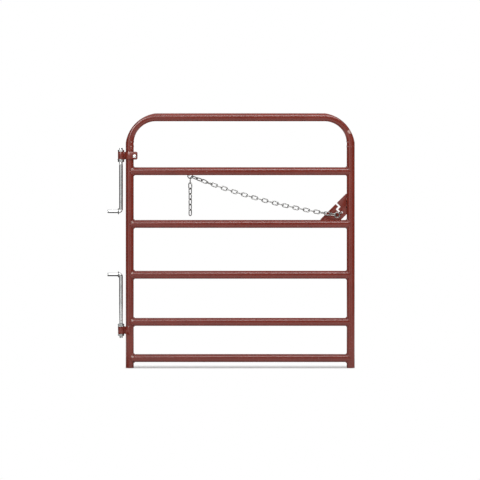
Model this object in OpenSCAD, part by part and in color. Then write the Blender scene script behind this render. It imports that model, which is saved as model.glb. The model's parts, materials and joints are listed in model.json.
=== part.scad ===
// Tubular steel field gate for a walk-through opening.
// One bent outer tube, coped cross rails, a corner latch plate with a zigzag chain slot,
// two hinge straps that carry L-shaped hinge bolts, and a latch chain of interlocked links.
// Millimetres. +X runs from the hinge side to the latch side, +Y away from the viewer, +Z up.

/* [Frame] */
// Width over the outsides of the two stiles
frame_w = 1188; // [1050:1:1400]
// Height from the feet to the top of the top bar
frame_h = 1321; // [1280:1:1450]
// Outside diameter of every tube
tube_d = 41.3; // [38:0.1:46]
// Wall thickness of every tube
tube_wall = 1.7; // [1.2:0.1:3]
// Centre-line radius of the two top bends
bend_r = 135.5; // [110:0.5:160]
// How far the outer wall of a bend is flattened at its middle
bend_flat = 8; // [3:0.5:10]

/* [Cross rails] */
// Clear gap between the ground and the lowest rail
gap_under = 30; // [15:0.5:50]
// Clear gap between the first and second rails
gap_1 = 146.6; // [120:0.1:170]
// Clear gap between the second and third rails
gap_2 = 203.2; // [180:0.1:225]
// Clear gap between the third and fourth rails
gap_3 = 222.5; // [200:0.1:240]
// Clear gap between the fourth and fifth rails
gap_4 = 232.3; // [215:0.1:250]

/* [Hinge straps] */
// Thickness of the strap bar
strap_t = 6.35; // [4:0.05:8]
// Height of the strap bar
strap_h = 38.1; // [30:0.1:45]
// Distance from the stile's axis to the eye's axis
eye_out = 45.3; // [44:0.1:55]
// Distance of the middle of the upper eye below the top of the frame
upper_eye_drop = 219.7; // [205:0.1:240]
// Height of the middle of the lower eye
lower_eye_z = 195.9; // [185:0.1:205]
// Reach of the clamp's flat legs past the stile's axis
clamp_reach = 38.5; // [37:0.1:50]
// Radius of the lower corner of the clamp's legs
clamp_corner_r = 8; // [3:0.5:12]
// Reach of the welded strap's legs past the stile's axis
weld_reach = 3; // [1:0.5:10]

/* [Hinge bolts] */
// Diameter of the hinge bolt rod
rod_d = 19.05; // [16:0.05:20]
// Length from the threaded end to the axis of the short leg
rod_len = 329; // [280:1:380]
// Length of the short leg from the rod's axis
leg_len = 70.3; // [55:0.1:90]
// Centre-line radius of the elbow
elbow_r = 11; // [10.5:0.1:16]
// Diameter of the shoulder collar at the root of the short leg
collar_d = 31; // [26:0.5:36]
// Thickness of the shoulder collar
collar_t = 4.5; // [3:0.1:7]
// Width across the flats of the hinge nuts
nut_flats = 28.6; // [26:0.1:32]
// Height of the hinge nuts
nut_h = 10.7; // [8:0.1:14]
// Length of thread that shows past the outer nut
rod_end = 10.3; // [5:0.1:16]
// Outside diameter of the hinge washer
washer_d = 37.3; // [32:0.1:40]
// Thickness of the hinge washer
washer_t = 3.4; // [2:0.1:5]

/* [Clamp bolt] */
// Diameter of the carriage bolt
clamp_d = 9.5; // [8:0.1:11]
// How far its axis lies below the middle of the strap
clamp_drop = 4.5; // [0:0.1:6]
// Diameter of its domed head
head_d = 20; // [17:0.5:24]
// Height of its domed head
head_h = 5; // [3.5:0.1:6]
// Width across the flats of its nut
clamp_nut_flats = 14.3; // [13:0.1:17]
// Height of its nut
clamp_nut_h = 8.3; // [6:0.1:10]
// Outside diameter of its washer
clamp_washer_d = 22; // [19:0.5:24]
// Thickness of its washer
clamp_washer_t = 1.6; // [1:0.1:2.5]
// Length of thread that shows past the nut
clamp_end = 4; // [1:0.5:7]

/* [Latch plate] */
// Thickness of the latch plate
plate_t = 4.8; // [4:0.1:6]
// Length of each leg of the plate's triangle
plate_leg = 136; // [125:0.5:150]
// Leg of the corner that is clipped off to clear the frame's weld
plate_clip = 30; // [22:0.5:36]
// Width of the blunt ends of the long edge
plate_tip = 4; // [2:0.5:8]
// Width of the zigzag chain slot
slot_w = 8.7; // [7:0.1:10]
// Place of the slot's mouth, as a share of the long edge from its upper end
slot_mouth_share = 0.385; // [0.36:0.005:0.42]
// Length of the slot's first run, square to the long edge
slot_run_1 = 21; // [18:0.5:24]
// Length of the slot's second run, along the long edge
slot_run_2 = 18.8; // [16:0.2:21]
// Length of the slot's last run, square to the long edge
slot_run_3 = 15; // [12:0.5:17]
// Distance of the hook's hole from the stile
hook_hole_in = 25; // [20:0.5:27]
// Distance of the hook's hole above the rail
hook_hole_up = 39; // [36:0.5:42]
// Diameter of the hook's hole
hook_hole_d = 10; // [8:0.5:11]

/* [Chain] */
// Diameter of the chain wire
wire_d = 5.2; // [4.5:0.1:5.6]
// Inside length of a link
link_in_len = 28; // [26:0.1:31]
// Inside width of a link
link_in_w = 12; // [11.4:0.1:13.5]
// Least play between two links that hang from each other
link_play = 0.3; // [0.2:0.05:0.5]
// How far the middle of the chain hangs below its two ends
swag_sag = 23; // [10:0.5:60]

/* [Chain ends] */
// Distance of the keeper hook from the middle of the gate, towards the hinges
keeper_in = 266; // [200:1:330]
// Depth of the keeper hook's lowest run below its rail's axis
keeper_drop = 20; // [16:0.5:26]
// Diameter of the bar of both hooks and of the anchor's eye
bar_d = 6; // [5:0.1:6.4]
// Centre-line radius of the keeper hook's bend
keeper_bend_r = 8; // [7:0.5:12]
// Centre-line radius of the keeper ring
ring_r = 12.75; // [12.5:0.25:16]
// Diameter of the keeper ring's wire
ring_wire_d = 5.5; // [4.5:0.1:5.8]
// Centre-line radius of the anchor's eye
eye_ring_r = 13; // [12.5:0.25:16]
// Centre-line radius of the anchor hook where it grips the plate
anchor_bend_r = 15.5; // [15:0.5:20]

/* [Hidden] */
$fn = 48;

paint = "#75342b";
zinc = "#a6aaaa";

// Overrun of every cut, and the small gap between pieces that are welded or screwed together
cut = 2;
seat = 0.05;
cope_gap = 0.1;

// Tubes
tube_r = tube_d / 2;
stile_x = frame_w / 2 - tube_r;
top_z = frame_h - tube_r;
rail_1_z = gap_under + tube_r;
rail_2_z = rail_1_z + gap_1 + tube_d;
rail_3_z = rail_2_z + gap_2 + tube_d;
rail_4_z = rail_3_z + gap_3 + tube_d;
rail_5_z = rail_4_z + gap_4 + tube_d;
rail_zs = [rail_1_z, rail_2_z, rail_3_z, rail_4_z, rail_5_z];

// Flattened side of a bend: a wider revolve about a centre that lies further in on the diagonal.
// It clears the bend's two ends by bend_ease and cuts bend_flat off the middle.
bend_ease = 0.5;
crown_share = 1.65;
crown_r = tube_r * crown_share;
bend_end_r = bend_r + tube_r + bend_ease;
bend_mid_r = bend_r + tube_r - bend_flat;
flat_shift = (bend_end_r ^ 2 - bend_mid_r ^ 2) / (2 * bend_mid_r - sqrt(2) * bend_end_r);
flat_r = bend_mid_r + flat_shift - crown_r;

// Hinge straps, seen from above with the stile's axis at the origin
upper_eye_z = frame_h - upper_eye_drop;
rod_r = rod_d / 2;
eye_clear = 0.2;
eye_in_r = rod_r + eye_clear;
eye_out_r = eye_in_r + strap_t;
grip_in_r = tube_r + cope_gap;
grip_out_r = grip_in_r + strap_t;
strap_slit = 1;
waist_r = 3.5;
waist_a = grip_out_r + waist_r;
waist_b = eye_out_r + waist_r;
waist_x = (waist_a ^ 2 + eye_out ^ 2 - waist_b ^ 2) / (2 * eye_out);
waist_y = sqrt(waist_a ^ 2 - waist_x ^ 2);
upper_corner_share = 0.4;
clamp_upper_corner_r = clamp_corner_r * upper_corner_share;

// Clamp bolt, close behind the stile
clamp_clear = 0.4;
clamp_gap = 0.8;
clamp_x = tube_r + clamp_gap + clamp_d / 2;
clamp_z = upper_eye_z - clamp_drop;
head_rim_share = 0.16;
head_rim_h = head_h * head_rim_share;
head_dome_h = head_h - head_rim_h;
head_sphere_r = (head_d ^ 2 / 4 + head_dome_h ^ 2) / (2 * head_dome_h);
neck_len = strap_t - seat;
neck_hole = clamp_d + clamp_clear;
clamp_nut_y = grip_out_r + clamp_washer_t + 2 * seat;
clamp_tip_y = clamp_nut_y + clamp_nut_h + clamp_end;

// Hinge bolts, with the eye's middle at the origin and the threaded end up
nut_clear = 0.1;
washer_clear = 0.5;
eye_end_gap = 0.15;
outer_nut_z = strap_h / 2 + eye_end_gap;
rod_tip_z = outer_nut_z + nut_h + rod_end;
leg_z = rod_tip_z - rod_len;
washer_z = -strap_h / 2 - eye_end_gap - washer_t;
inner_nut_z = washer_z - seat - nut_h;
rod_chamfer_share = 0.12;
rod_chamfer = rod_d * rod_chamfer_share;
nut_face_share = 0.95;

// Latch plate corner: where the fourth rail's top meets the inside of the latch stile
corner_x = stile_x - tube_r - cope_gap;
corner_z = rail_4_z + tube_r + cope_gap;
in_step = [-sqrt(1 / 2), -sqrt(1 / 2)];
along_step = [sqrt(1 / 2), -sqrt(1 / 2)];
slot_mouth = plate_leg * [slot_mouth_share, 1 - slot_mouth_share];
slot_turn_1 = slot_mouth + slot_run_1 * in_step;
slot_turn_2 = slot_turn_1 + slot_run_2 * along_step;
slot_end = slot_turn_2 + slot_run_3 * in_step;
slot_points = [slot_mouth - slot_w * in_step, slot_turn_1, slot_turn_2, slot_end];

// Keeper hook, ring and tail. The tail's first link stands square to the ring, the next ones
// turn bit by bit, and from then on its links hang slantwise to the front by turns.
bar_r = bar_d / 2;
wire_r = wire_d / 2;
ring_wire_r = ring_wire_d / 2;
link_half_w = link_in_w / 2 + wire_r;
link_straight = link_in_len - link_in_w;
keeper_shank_y = tube_r + bar_r + cope_gap;
keeper_y = keeper_shank_y + keeper_bend_r;
keeper_low_z = rail_5_z - keeper_drop;
shank_rise_share = 0.5;
keeper_shank_up = tube_r * shank_rise_share;
keeper_tip_up = bar_d;
pull_angle = -33;
ring_seat_r = ring_r - ring_wire_r - bar_r - link_play;
keeper_low = [-keeper_in, keeper_y, keeper_low_z];
ring_at = keeper_low + ring_seat_r * [cos(pull_angle), 0, sin(pull_angle)];
tail_top = ring_at - [0, 0, ring_r];
tail_turn = 45;
tail_turn_links = 2;
tail_first_drop = link_in_len / 2 - ring_wire_r - link_play;
tail_pitch = link_in_len - link_play;

// Anchor hook: a closed eye in front of the plate and a half-round bend through the plate's hole
hook_angle = 28;
hook_shank = 0.5;
hook_bar_share = 0.92;
hook_bar_r = bar_r * hook_bar_share;
hook_dir = [cos(hook_angle), 0, sin(hook_angle)];
hook_hole = [corner_x - hook_hole_in, 0, corner_z + hook_hole_up];
hook_bend_at = hook_hole - anchor_bend_r * hook_dir;
eye_at = hook_bend_at - [0, anchor_bend_r, 0] - (hook_shank + eye_ring_r) * hook_dir;
hook_tip = bar_d;

// Hanging chain: a parabola between the two wires that hold it, measured out in equal links.
// Its links lie flat and upright by turns. The few at each end turn bit by bit to end_roll,
// so that both end links sit alike on their wires and can swing there.
ring_way = -21;
eye_way = 172;
swag_from = ring_at + ring_r * [cos(ring_way), 0, sin(ring_way)];
swag_to = eye_at + eye_ring_r * [cos(eye_way), 0, sin(eye_way)];
function swag_point(t) = swag_from + t * (swag_to - swag_from) - [0, 0, 4 * swag_sag * t * (1 - t)];
swag_steps = 300;
swag_table = [
    for (i = 0, run = 0; i <= swag_steps;
        run = run + norm(swag_point((i + 1) / swag_steps) - swag_point(i / swag_steps)), i = i + 1)
        [run, i / swag_steps]
];
swag_len = swag_table[swag_steps][0];
swag_hold = ring_wire_r + bar_r;
swag_links = ceil((swag_len + swag_hold + link_play) / (link_in_len - link_play));
swag_play = (swag_links * link_in_len - swag_hold - swag_len) / (swag_links + 1);
swag_first = link_in_len / 2 - ring_wire_r - swag_play;
swag_pitch = link_in_len - swag_play;
end_roll = 122;
turn_links = 4;
last_turn = end_roll - 90;
first_turn = last_turn - 90 * ((swag_links + 1) % 2);
swag_look = 1 / swag_steps;

// Middle of the whole gate's outline, on the ground
reach_left = stile_x + eye_out + leg_len;
reach_right = frame_w / 2;
reach_front = grip_out_r + seat + head_h;
reach_back = max(clamp_tip_y, keeper_y + link_half_w + wire_r, keeper_y + keeper_bend_r + bar_r);
origin_at = [(reach_right - reach_left) / 2, (reach_back - reach_front) / 2, 0];

module placed() {
    translate(-origin_at) children();
}

module along_x() {
    rotate([0, 90, 0]) children();
}

module along_y() {
    rotate([-90, 0, 0]) children();
}

// Outer tube, drawn solid at a chosen depth below its outside
module frame_skin(depth) {
    leg_h = top_z - bend_r;
    bend_x = stile_x - bend_r;
    for (side = [-1, 1])
        translate([side * stile_x, 0, 0])
            cylinder(r = tube_r - depth, h = leg_h);
    translate([-bend_x, 0, top_z])
        along_x() cylinder(r = tube_r - depth, h = 2 * bend_x);
    for (side = [0, 1])
        mirror([side, 0, 0])
            translate([bend_x, 0, leg_h])
                bend_skin(depth);
}

// Quarter bend from the stile to the top bar, with its outer side flattened
module bend_skin(depth) {
    intersection() {
        rotate([90, 0, 0])
            rotate_extrude(angle = 90)
                translate([bend_r, 0]) circle(tube_r - depth);
        translate(-flat_shift * [sqrt(1 / 2), 0, sqrt(1 / 2)])
            rotate([90, 0, 0])
                rotate_extrude()
                    translate([flat_r, 0]) circle(crown_r - depth);
    }
}

module outer_frame() {
    color(paint)
        placed()
            difference() {
                frame_skin(0);
                frame_skin(tube_wall);
                for (side = [-1, 1])
                    translate([side * stile_x, 0, -cut])
                        cylinder(r = tube_r - tube_wall, h = 2 * cut);
            }
}

// Rail tube with both ends coped to the stiles
module cross_rail(z) {
    color(paint)
        placed()
            difference() {
                translate([-stile_x, 0, z])
                    along_x() cylinder(r = tube_r, h = 2 * stile_x);
                translate([-stile_x - cut, 0, z])
                    along_x() cylinder(r = tube_r - tube_wall, h = 2 * (stile_x + cut));
                for (side = [-1, 1])
                    translate([side * stile_x, 0, z - tube_d])
                        cylinder(r = tube_r + cope_gap, h = 2 * tube_d);
            }
}

module cross_rail_1() {
    cross_rail(rail_1_z);
}

module cross_rail_2() {
    cross_rail(rail_2_z);
}

module cross_rail_3() {
    cross_rail(rail_3_z);
}

module cross_rail_4() {
    cross_rail(rail_4_z);
}

module cross_rail_5() {
    cross_rail(rail_5_z);
}

// Slot run between two points, with round ends
module slot_run(from, to) {
    step = to - from;
    translate(from)
        rotate(atan2(step[1], step[0])) {
            translate([0, -slot_w / 2]) square([norm(step), slot_w]);
            circle(slot_w / 2);
        }
    translate(to) circle(slot_w / 2);
}

// Plate outline: first axis from the stile towards the hinges, second axis up from the rail
module plate_outline() {
    difference() {
        polygon([
            [plate_clip, 0], [plate_leg, 0], [plate_leg, plate_tip],
            [plate_tip, plate_leg], [0, plate_leg], [0, plate_clip]
        ]);
        for (i = [0 : len(slot_points) - 2])
            slot_run(slot_points[i], slot_points[i + 1]);
        translate([hook_hole_in, hook_hole_up]) circle(d = hook_hole_d);
    }
}

module latch_plate() {
    color(paint)
        placed()
            translate([corner_x, plate_t / 2, corner_z])
                mirror([1, 0, 0])
                    rotate([90, 0, 0])
                        linear_extrude(plate_t) plate_outline();
}

// Bent bar seen from above: an eye, a grip half round the stile and two flat legs
module strap_outline(reach) {
    difference() {
        union() {
            circle(grip_out_r);
            translate([-eye_out, 0]) circle(eye_out_r);
            difference() {
                polygon([[0, 0], [-waist_x, waist_y], [-eye_out, 0], [-waist_x, -waist_y]]);
                for (side = [-1, 1])
                    translate([-waist_x, side * waist_y]) circle(waist_r);
            }
            translate([0, -grip_out_r]) square([reach, 2 * grip_out_r]);
        }
        circle(grip_in_r);
        translate([0, -grip_in_r]) square([grip_out_r + reach, 2 * grip_in_r]);
        translate([reach, -grip_out_r - cut]) square([grip_out_r, 2 * (grip_out_r + cut)]);
        translate([-eye_out, 0]) circle(eye_in_r);
        translate([-eye_out, -strap_slit / 2]) square([eye_out, strap_slit]);
    }
}

// Material outside a rounded corner at the end of the clamp's legs
module corner_waste(r) {
    translate([clamp_reach - r, strap_h / 2 - r])
        difference() {
            square(r + cut);
            circle(r);
        }
}

module upper_hinge_strap() {
    color(paint)
        placed()
            translate([-stile_x, 0, upper_eye_z])
                difference() {
                    translate([0, 0, -strap_h / 2])
                        linear_extrude(strap_h) strap_outline(clamp_reach);
                    translate([0, grip_out_r + cut, 0])
                        rotate([90, 0, 0])
                            linear_extrude(2 * (grip_out_r + cut)) {
                                corner_waste(clamp_upper_corner_r);
                                mirror([0, 1]) corner_waste(clamp_corner_r);
                            }
                    translate([clamp_x, 0, -clamp_drop])
                        along_y() cylinder(d = clamp_d + 2 * clamp_clear, h = grip_out_r + cut);
                    translate([clamp_x, -grip_out_r / 2 - cut, -clamp_drop])
                        cube([neck_hole, grip_out_r + cut, neck_hole], center = true);
                }
}

module lower_hinge_strap() {
    color(paint)
        placed()
            translate([-stile_x, 0, lower_eye_z - strap_h / 2])
                linear_extrude(strap_h) strap_outline(weld_reach);
}

// Hexagon nut with its corners turned off at both ends
module hex_nut(flats, height, bore_r) {
    corner_r = flats / 2 / cos(30);
    face_r = nut_face_share * flats / 2;
    ease = (corner_r - face_r) * tan(30);
    difference() {
        intersection() {
            cylinder(r = corner_r, h = height, $fn = 6);
            rotate_extrude()
                polygon([
                    [0, 0], [face_r, 0], [corner_r, ease],
                    [corner_r, height - ease], [face_r, height], [0, height]
                ]);
        }
        translate([0, 0, -cut]) cylinder(r = bore_r, h = height + 2 * cut);
    }
}

module flat_washer(outer_d, bore_r, height) {
    difference() {
        cylinder(d = outer_d, h = height);
        translate([0, 0, -cut]) cylinder(r = bore_r, h = height + 2 * cut);
    }
}

// Carriage bolt through both legs of the clamp, head to the front
module clamp_bolt() {
    color(zinc)
        placed()
            translate([clamp_x - stile_x, 0, clamp_z]) {
                translate([0, -grip_out_r - seat, 0])
                    rotate([90, 0, 0])
                        rotate_extrude() {
                            square([head_d / 2, head_rim_h]);
                            translate([0, head_rim_h])
                                intersection() {
                                    translate([0, head_dome_h - head_sphere_r]) circle(head_sphere_r);
                                    square([head_d / 2, head_dome_h]);
                                }
                        }
                translate([-clamp_d / 2, -grip_out_r - seat, -clamp_d / 2])
                    cube([clamp_d, neck_len, clamp_d]);
                translate([0, -grip_out_r - seat, 0])
                    along_y() cylinder(d = clamp_d, h = grip_out_r + seat + clamp_tip_y);
            }
}

module clamp_washer() {
    color(zinc)
        placed()
            translate([clamp_x - stile_x, grip_out_r + seat, clamp_z])
                along_y() flat_washer(clamp_washer_d, clamp_d / 2 + clamp_clear, clamp_washer_t);
}

module clamp_nut() {
    color(zinc)
        placed()
            translate([clamp_x - stile_x, clamp_nut_y, clamp_z])
                along_y() hex_nut(clamp_nut_flats, clamp_nut_h, clamp_d / 2 + nut_clear);
}

// Threaded rod with an elbow, a shoulder collar and a short leg towards the gate post
module hinge_bolt() {
    translate([0, 0, leg_z + elbow_r])
        cylinder(r = rod_r, h = rod_len - elbow_r - rod_chamfer);
    translate([0, 0, rod_tip_z - rod_chamfer])
        cylinder(r1 = rod_r, r2 = rod_r - rod_chamfer, h = rod_chamfer);
    translate([-elbow_r, 0, leg_z + elbow_r])
        rotate([-90, 0, 0])
            rotate_extrude(angle = 90)
                translate([elbow_r, 0]) circle(rod_r);
    translate([-elbow_r, 0, leg_z])
        rotate([0, -90, 0]) {
            cylinder(r = rod_r, h = leg_len - elbow_r - rod_chamfer);
            cylinder(d = collar_d, h = collar_t);
            translate([0, 0, leg_len - elbow_r - rod_chamfer])
                cylinder(r1 = rod_r, r2 = rod_r - rod_chamfer, h = rod_chamfer);
        }
}

module at_upper_eye() {
    color(zinc)
        placed()
            translate([-stile_x - eye_out, 0, upper_eye_z]) children();
}

// The lower set hangs upside down, so its short leg also points towards the gate post
module at_lower_eye() {
    color(zinc)
        placed()
            translate([-stile_x - eye_out, 0, lower_eye_z]) rotate([180, 0, 0]) children();
}

module outer_nut() {
    translate([0, 0, outer_nut_z]) hex_nut(nut_flats, nut_h, rod_r + nut_clear);
}

module inner_nut() {
    translate([0, 0, inner_nut_z]) hex_nut(nut_flats, nut_h, rod_r + nut_clear);
}

module hinge_washer() {
    translate([0, 0, washer_z]) flat_washer(washer_d, rod_r + washer_clear, washer_t);
}

module upper_hinge_bolt() {
    at_upper_eye() hinge_bolt();
}

module upper_outer_nut() {
    at_upper_eye() outer_nut();
}

module upper_inner_nut() {
    at_upper_eye() inner_nut();
}

module upper_washer() {
    at_upper_eye() hinge_washer();
}

module lower_hinge_bolt() {
    at_lower_eye() hinge_bolt();
}

module lower_outer_nut() {
    at_lower_eye() outer_nut();
}

module lower_inner_nut() {
    at_lower_eye() inner_nut();
}

module lower_washer() {
    at_lower_eye() hinge_washer();
}

// Round bar hook on the back of the fifth rail, open upwards
module keeper_hook() {
    shank_h = keeper_drop - keeper_bend_r + keeper_shank_up;
    color(zinc)
        placed()
            translate([-keeper_in, keeper_y, keeper_low_z + keeper_bend_r]) {
                rotate([0, 90, 0])
                    rotate([0, 0, -90])
                        rotate_extrude(angle = 180)
                            translate([keeper_bend_r, 0]) circle(bar_r);
                translate([0, -keeper_bend_r, 0]) cylinder(r = bar_r, h = shank_h);
                translate([0, keeper_bend_r, 0]) cylinder(r = bar_r, h = keeper_tip_up);
                translate([0, keeper_bend_r, keeper_tip_up]) sphere(bar_r);
            }
}

module keeper_ring() {
    color(zinc)
        placed()
            translate(ring_at)
                rotate([90, 0, 0])
                    rotate_extrude()
                        translate([ring_r, 0]) circle(ring_wire_r);
}

// Closed eye, short shank and a hook that grips the plate through its hole
module anchor_hook() {
    color(zinc)
        placed() {
            translate(eye_at)
                rotate([90, 0, 0])
                    rotate_extrude()
                        translate([eye_ring_r, 0]) circle(bar_r);
            translate(hook_bend_at)
                rotate([0, -hook_angle, 0]) {
                    rotate([0, 0, -90])
                        rotate_extrude(angle = 180)
                            translate([anchor_bend_r, 0]) circle(hook_bar_r);
                    translate([0, -anchor_bend_r, 0])
                        rotate([0, -90, 0]) cylinder(r = hook_bar_r, h = hook_shank);
                    translate([0, anchor_bend_r, 0])
                        rotate([0, -90, 0]) {
                            cylinder(r = hook_bar_r, h = hook_tip);
                            translate([0, 0, hook_tip]) sphere(hook_bar_r);
                        }
                }
        }
}

// One chain link, long axis along X and flat in the XZ plane
module chain_link() {
    rotate([90, 0, 0])
        for (turn = [0, 180])
            rotate([0, 0, turn]) {
                translate([link_straight / 2, 0, 0])
                    rotate([0, 0, -90])
                        rotate_extrude(angle = 180)
                            translate([link_half_w, 0]) circle(wire_r);
                translate([-link_straight / 2, link_half_w, 0])
                    rotate([0, 90, 0]) cylinder(r = wire_r, h = link_straight);
            }
}

// Links of the hanging chain, each along the curve and turned about a quarter turn from the last
module chain_swag() {
    color(zinc)
        placed()
            for (i = [0 : swag_links - 1]) {
                t = lookup(swag_first + i * swag_pitch, swag_table);
                way = swag_point(t + swag_look) - swag_point(t - swag_look);
                roll = 90 * (swag_links - i) + first_turn * max(0, 1 - i / turn_links)
                    + last_turn * max(0, 1 - (swag_links - 1 - i) / turn_links);
                translate(swag_point(t))
                    rotate([roll, atan2(-way[2], norm([way[0], way[1]])), atan2(way[1], way[0])])
                        chain_link();
            }
}

// One link of the loose tail, counted from the keeper ring
module tail_link(i) {
    color(zinc)
        placed()
            translate(tail_top - [0, 0, tail_first_drop + (i - 1) * tail_pitch])
                rotate([90 * (i % 2) + tail_turn * min(1, (i - 1) / tail_turn_links), 90, 0])
                    chain_link();
}

module tail_link_1() {
    tail_link(1);
}

module tail_link_2() {
    tail_link(2);
}

module tail_link_3() {
    tail_link(3);
}

module tail_link_4() {
    tail_link(4);
}

module tail_link_5() {
    tail_link(5);
}

module tail_link_6() {
    tail_link(6);
}

module tail_link_7() {
    tail_link(7);
}

outer_frame();
cross_rail_1();
cross_rail_2();
cross_rail_3();
cross_rail_4();
cross_rail_5();
latch_plate();
upper_hinge_strap();
clamp_bolt();
clamp_washer();
clamp_nut();
lower_hinge_strap();
upper_hinge_bolt();
upper_outer_nut();
upper_inner_nut();
upper_washer();
lower_hinge_bolt();
lower_outer_nut();
lower_inner_nut();
lower_washer();
keeper_hook();
keeper_ring();
anchor_hook();
chain_swag();
tail_link_1();
tail_link_2();
tail_link_3();
tail_link_4();
tail_link_5();
tail_link_6();
tail_link_7();
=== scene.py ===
"""Tubular steel field gate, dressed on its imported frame: paint, welds, threads and zinc hardware."""

import json
import math

import bpy
from mathutils import Matrix, Vector


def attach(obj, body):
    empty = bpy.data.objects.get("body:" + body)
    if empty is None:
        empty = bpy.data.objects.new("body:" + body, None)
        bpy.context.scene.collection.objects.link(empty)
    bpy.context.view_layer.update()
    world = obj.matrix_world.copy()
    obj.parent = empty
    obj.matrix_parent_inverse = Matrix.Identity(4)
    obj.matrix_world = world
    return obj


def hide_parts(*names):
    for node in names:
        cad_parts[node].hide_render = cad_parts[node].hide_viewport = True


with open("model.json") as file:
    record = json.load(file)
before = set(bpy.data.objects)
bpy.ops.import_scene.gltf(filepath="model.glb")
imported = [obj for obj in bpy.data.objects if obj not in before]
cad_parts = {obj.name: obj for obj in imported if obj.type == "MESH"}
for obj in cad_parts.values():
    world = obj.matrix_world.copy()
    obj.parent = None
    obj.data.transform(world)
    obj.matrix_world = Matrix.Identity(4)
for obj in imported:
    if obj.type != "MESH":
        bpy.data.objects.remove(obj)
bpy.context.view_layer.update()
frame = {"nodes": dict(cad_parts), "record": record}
nodes = frame["nodes"]

QUARTER = math.pi / 2
SAME_POINT = 1e-6

# Sizes of the gate, in metres, the same as in the solids
TUBE_R = 0.02065
TUBE_WALL = 0.0017
MID_Y = -0.0054
LEFT_X = -0.525875
RIGHT_X = 0.620825
TOP_Z = 1.30035
BEND_R = 0.1355
BEND_FLAT = 0.008
RAIL_Z = [0.05065, 0.23855, 0.48305, 0.74685, 1.02045]
COPE_R = 0.02075
STRAP_H = 0.0381
PLATE_X = 0.600075
PLATE_Z = 0.7676
PLATE_T = 0.0048

# Sizes of the hinge bolts; heights are measured from the eye
HINGE_X = -0.571175
UPPER_EYE_Z = 1.1013
LOWER_EYE_Z = 0.1959
ROD_R = 0.009525
ROD_LEN = 0.329
ROD_TIP = 0.0402
ROD_CHAMFER = 0.0022
LEG_DROP = ROD_TIP - ROD_LEN
LEG_LEN = 0.0703
ELBOW_R = 0.011
COLLAR_R = 0.0155
COLLAR_T = 0.0045
THREAD_END = -0.05
THREAD_PITCH = 0.00254
THREAD_DEPTH = 0.0013

# Sizes and places of the chain
WIRE_R = 0.0026
LINK_HALF_W = 0.0086
LINK_STRAIGHT = 0.016
LINK_LEN = 0.028
SWAG_FROM = Vector((-0.201003, 0.02635, 0.992232))
SWAG_TO = Vector((0.536596, -0.0209, 0.794795))
SWAG_SAG = 0.023
SWAG_LINKS = 28
FIRST_TURN = -58
LAST_TURN = 32
TURN_LINKS = 4
HOLD = 0.00575
RING_WIRE_R = 0.00275
TAIL_TOP = Vector((-0.212906, 0.02635, 0.984051))
TAIL_DROP = 0.01095
TAIL_PITCH = 0.0277
TAIL_LINKS = 7
TAIL_TURN = 45
TAIL_TURN_LINKS = 2

# Fineness of the meshes
TUBE_SIDES = 56
BEND_STEPS = 64
ROD_SIDES = 48
ELBOW_STEPS = 16
THREAD_SIDES = 36
LINK_SEGMENTS = 28
WIRE_SIDES = 14
SWAG_STEPS = 300
BEAD_ROUNDNESS = 3

# Angles in degrees up to which edges are shaded smooth
SMOOTH_BAR = 30
SMOOTH_TUBE = 35
SMOOTH_TURNED = 40
SMOOTH_ROUND = 60


# Modelling helpers


def clear_selection():
    """Leaves nothing selected, so that the next operator acts on the new piece alone."""
    if bpy.context.object and bpy.context.object.mode != "OBJECT":
        bpy.ops.object.mode_set(mode="OBJECT")
    bpy.ops.object.select_all(action="DESELECT")


def select_only(piece):
    """Makes a piece the only one that the next operator acts on."""
    clear_selection()
    piece.select_set(True)
    bpy.context.view_layer.objects.active = piece


def take_new(name):
    """Names the primitive that was just added and puts its place into its mesh."""
    piece = bpy.context.object
    piece.name = name
    piece.data.name = name
    bpy.ops.object.transform_apply(location=True, rotation=True, scale=True)
    return piece


def put_in_scene(name, data):
    """A new object with the given data, linked to the scene."""
    item = bpy.data.objects.new(name, data)
    bpy.context.scene.collection.objects.link(item)
    return item


def twin(piece, name, move):
    """A copy of a finished piece with its own mesh, moved to its place."""
    mesh = piece.data.copy()
    mesh.name = name
    mesh.transform(move)
    return put_in_scene(name, mesh)


def join(pieces):
    """Joins pieces into the first of them."""
    clear_selection()
    for piece in pieces:
        piece.select_set(True)
    bpy.context.view_layer.objects.active = pieces[0]
    bpy.ops.object.join()
    return pieces[0]


def edit_mode():
    bpy.ops.object.mode_set(mode="EDIT")


def object_mode():
    bpy.ops.object.mode_set(mode="OBJECT")


def push_edges(step):
    """Extrudes the selected edges by a step."""
    bpy.ops.mesh.extrude_region_move(TRANSFORM_OT_translate={"value": step})


def bend_edges(steps, centre):
    """Spins the selected edges a quarter turn in the plane of the gate."""
    bpy.ops.mesh.spin(steps=steps, angle=-QUARTER, center=centre, axis=(0, 1, 0))


def close_skin():
    """Merges the doubled points of the mesh in edit mode and turns its faces outwards."""
    bpy.ops.mesh.select_all(action="SELECT")
    bpy.ops.mesh.remove_doubles(threshold=SAME_POINT)
    bpy.ops.mesh.normals_make_consistent(inside=False)


def apply_all(piece):
    """Applies the piece's modifiers in order."""
    bpy.context.view_layer.objects.active = piece
    for modifier in list(piece.modifiers):
        bpy.ops.object.modifier_apply(modifier=modifier.name)


def give_wall(piece):
    """Gives a tube's skin its wall, inwards."""
    wall = piece.modifiers.new("wall", "SOLIDIFY")
    wall.thickness = TUBE_WALL
    wall.offset = -1
    apply_all(piece)


def ease_edges(piece, width, segments, angle):
    """Rounds the edges that are sharper than an angle in degrees."""
    edge = piece.modifiers.new("edge", "BEVEL")
    edge.width = width
    edge.segments = segments
    edge.limit_method = "ANGLE"
    edge.angle_limit = math.radians(angle)
    apply_all(piece)


def smooth(piece, angle):
    """Shades a piece smooth, apart from edges sharper than an angle in degrees."""
    select_only(piece)
    bpy.ops.object.shade_smooth_by_angle(angle=math.radians(angle))


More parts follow.
